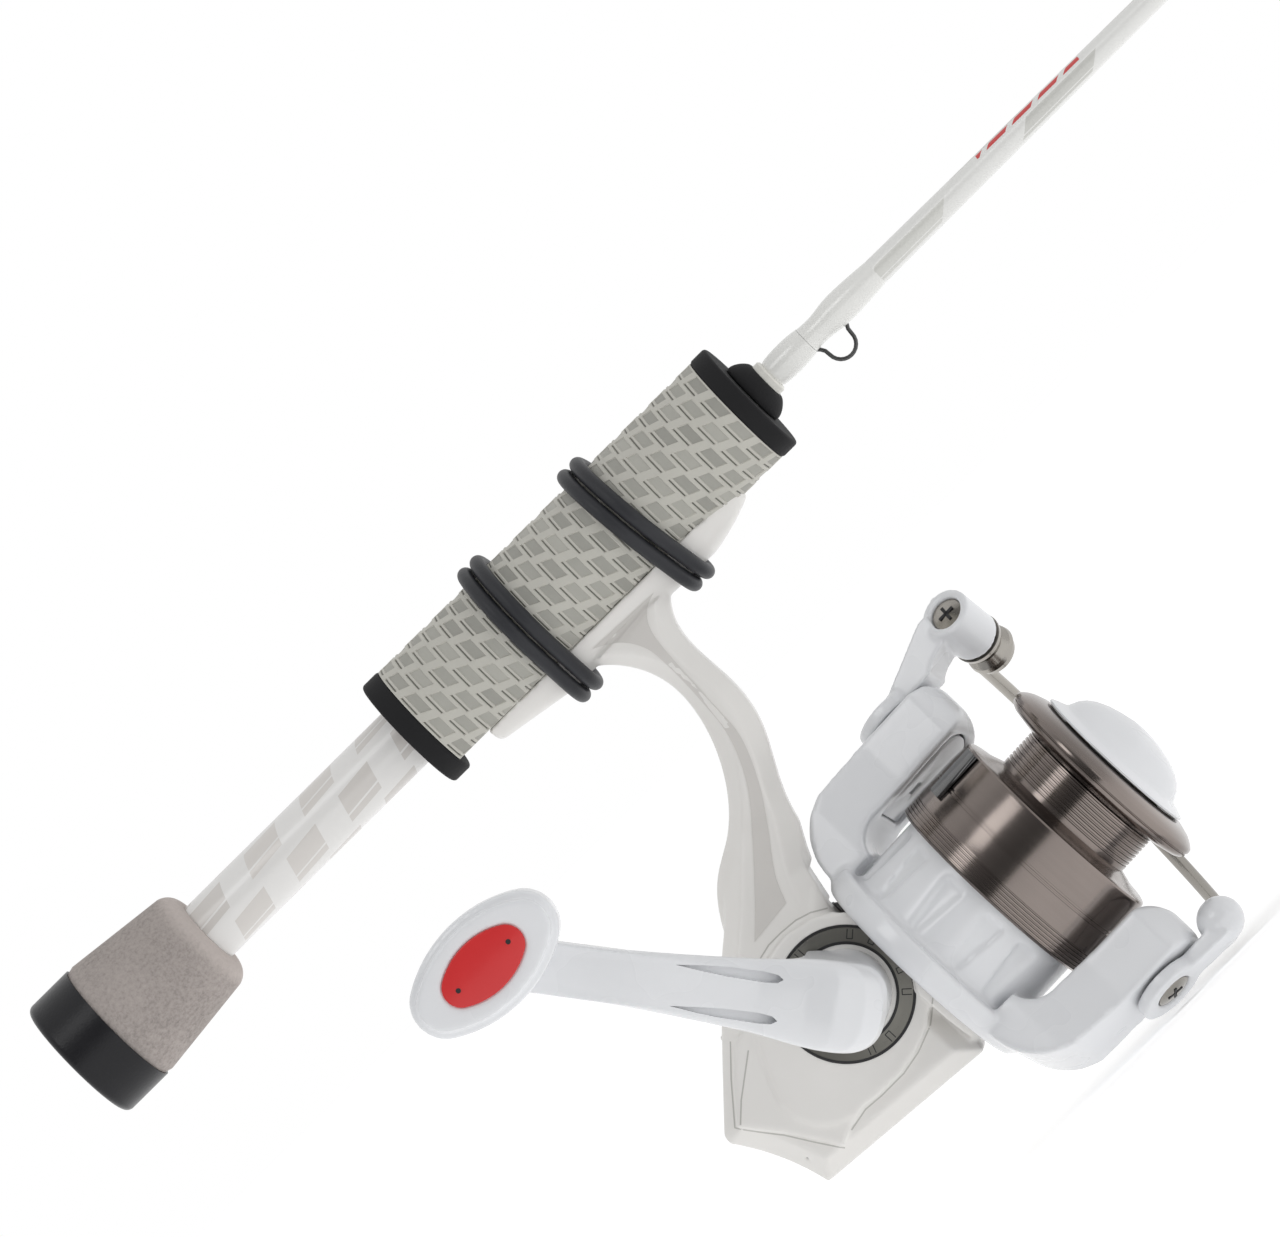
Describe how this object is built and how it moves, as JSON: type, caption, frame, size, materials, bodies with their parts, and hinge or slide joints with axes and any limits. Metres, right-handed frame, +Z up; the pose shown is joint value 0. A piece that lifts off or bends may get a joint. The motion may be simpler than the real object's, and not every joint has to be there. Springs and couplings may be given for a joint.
{
  "type": "ice fishing rod",
  "caption": "Short ice fishing rod with a spinning reel held under its grip by rubber bands; crank, rotor, bail, roller, spool and drag knob move.",
  "frame": {"origin": "centre of the rubber butt cap's end face, on the rod axis", "axes": "+X along the rod to its tip, +Z up away from the reel, -Y the side the crank stands on"},
  "size_m": [0.66, 0.0969, 0.1303],
  "materials": {
    "blank": "white fibre blank with a clear coat",
    "tube": "pearl white handle tube",
    "foam": "warm grey foam",
    "black_rubber": "charcoal rubber",
    "sleeve": "textured rubberised grip",
    "thread": "coated thread wrap",
    "cream": "cream moulded ring",
    "wire_dark": "dark steel wire",
    "ceramic": "guide ring ceramic",
    "case": "warm white satin casting",
    "pearl": "cool pearl white",
    "steel": "steel",
    "gunmetal": "gunmetal anodised",
    "brass": "brass",
    "zinc": "cast gear alloy",
    "champagne": "champagne anodised",
    "black_gloss": "black gloss plastic",
    "red": "red inlay",
    "felt": "drag washer felt"
  },
  "bodies": {
    "rod": {"rod_blank": "blank", "handle_tube": "tube", "butt_foam": "foam", "butt_cap": "black_rubber", "grip_sleeve": "sleeve", "grip_rear_ring": "black_rubber", "grip_front_ring": "black_rubber", "front_collar": "black_rubber", "check_ring": "cream", "rear_wrap": "thread", "front_wrap": "thread", "hook_keeper": "wire_dark", "rear_bands": "black_rubber", "front_bands": "black_rubber", "guide_wraps": "thread", "tip_frame": "wire_dark", "tip_ring": "ceramic", "reel_housing": "case", "side_cover": "case", "cover_screws": "steel", "handle_hole_cap": "case", "bezel_ring": "gunmetal", "crank_bearings": "steel", "pinion_bearing": "steel", "one_way_clutch": "steel", "guide_frame_1": "wire_dark", "guide_ring_1": "ceramic", "guide_frame_2": "wire_dark", "guide_ring_2": "ceramic", "guide_frame_3": "wire_dark", "guide_ring_3": "ceramic", "guide_frame_4": "wire_dark", "guide_ring_4": "ceramic"},
    "crank": {"drive_gear": "zinc", "crank_arm": "pearl", "crank_spindle": "steel", "knob_post": "steel"},
    "knob": {"crank_knob": "pearl", "knob_inlay": "red"},
    "rotor": {"rotor": "pearl", "pinion": "brass", "rotor_nut": "steel", "arm_cover_left": "pearl", "arm_cover_right": "pearl", "bail_spring": "steel", "pivot_screws": "steel"},
    "bail": {"bail_lever_left": "pearl", "bail_lever_right": "pearl", "bail_wire": "steel", "roller_screw": "steel"},
    "roller": {"line_roller": "steel"},
    "cross_gear": {"oscillation_gear": "zinc"},
    "shaft": {"main_shaft": "steel", "oscillation_slider": "zinc"},
    "spool": {"spool_skirt": "champagne", "spool_arbor": "champagne", "spool_lip": "champagne", "line_clip": "black_gloss", "drag_washers": "felt"},
    "drag": {"drag_knob": "pearl"}
  },
  "joints": [
    {"name": "crank_turn", "type": "hinge", "parent": "rod", "child": "crank", "pos_m": [0.09691, 0, -0.07871], "axis": [0, -1, 0], "continuous": true},
    {"name": "knob_spin", "type": "hinge", "parent": "crank", "child": "knob", "pos_m": [0.06384, -0.0519, -0.03402], "axis": [0, -1, 0], "continuous": true},
    {"name": "rotor_turn", "type": "hinge", "parent": "rod", "child": "rotor", "pos_m": [0.13957, 0, -0.08321], "axis": [0.9989, 0, 0.0471], "continuous": true},
    {"name": "cross_gear_turn", "type": "hinge", "parent": "rod", "child": "cross_gear", "pos_m": [0.08492, 0, -0.08318], "axis": [0, -1, 0], "continuous": true},
    {"name": "bail_swing", "type": "hinge", "parent": "rotor", "child": "bail", "pos_m": [0.13308, 0, -0.08352], "axis": [0.0443, -0.342, -0.9386], "range_deg": [0, 105]},
    {"name": "roller_spin", "type": "hinge", "parent": "bail", "child": "roller", "pos_m": [0.14986, 0.00832, -0.04666], "axis": [0.0333, 0.7071, -0.7063], "continuous": true},
    {"name": "spool_stroke", "type": "slide", "parent": "rod", "child": "shaft", "axis": [0.9989, 0, 0.0471], "range_m": [0, 0.007]},
    {"name": "spool_spin", "type": "hinge", "parent": "shaft", "child": "spool", "pos_m": [0.13957, 0, -0.08321], "axis": [0.9989, 0, 0.0471], "continuous": true},
    {"name": "drag_turn", "type": "hinge", "parent": "shaft", "child": "drag", "pos_m": [0.13957, 0, -0.08321], "axis": [0.9989, 0, 0.0471], "range_deg": [-360, 360]}
  ],
  "couplings": [
    {"joint": "rotor_turn", "follows": "crank_turn", "ratio": 5.2},
    {"joint": "cross_gear_turn", "follows": "crank_turn", "ratio": -0.6}
  ]
}
